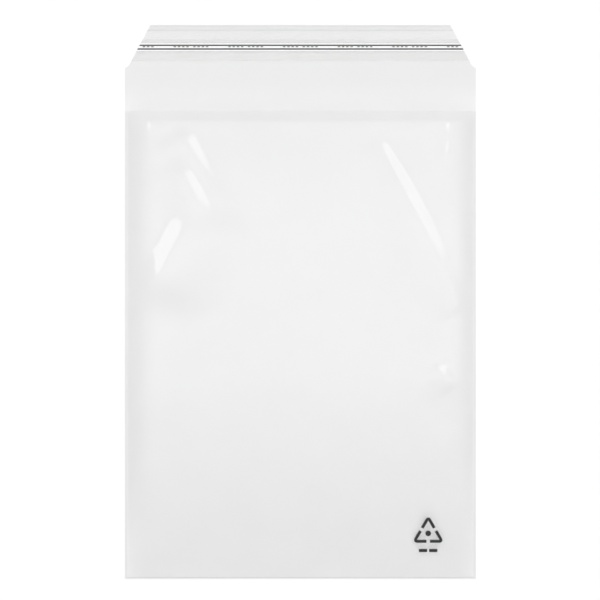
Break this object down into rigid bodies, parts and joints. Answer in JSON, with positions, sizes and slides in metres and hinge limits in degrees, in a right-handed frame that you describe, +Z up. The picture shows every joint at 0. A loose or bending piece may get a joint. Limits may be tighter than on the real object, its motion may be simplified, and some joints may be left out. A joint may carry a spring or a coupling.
{
  "type": "poly mailer bag",
  "caption": "Flat clear film mailing bag with welded sides, a folded bottom, an open mouth, and a tapered closure flap carrying an adhesive strip under a release liner.",
  "frame": {"origin": "on the table, under the middle of the bag's whole width and length", "axes": "+X across the bag, +Y from the bottom fold towards the mouth and flap, +Z up from the back panel to the front panel"},
  "size_m": [0.24, 0.379, 0.0085],
  "materials": {
    "clear_film": "clear, slightly hazy, glossy polyethylene film",
    "adhesive": "clear tacky adhesive film",
    "liner": "satin translucent release film with printed lines"
  },
  "bodies": {
    "root": {"bag_film": "clear_film", "adhesive_strip": "adhesive", "release_liner": "liner"}
  },
  "joints": []
}
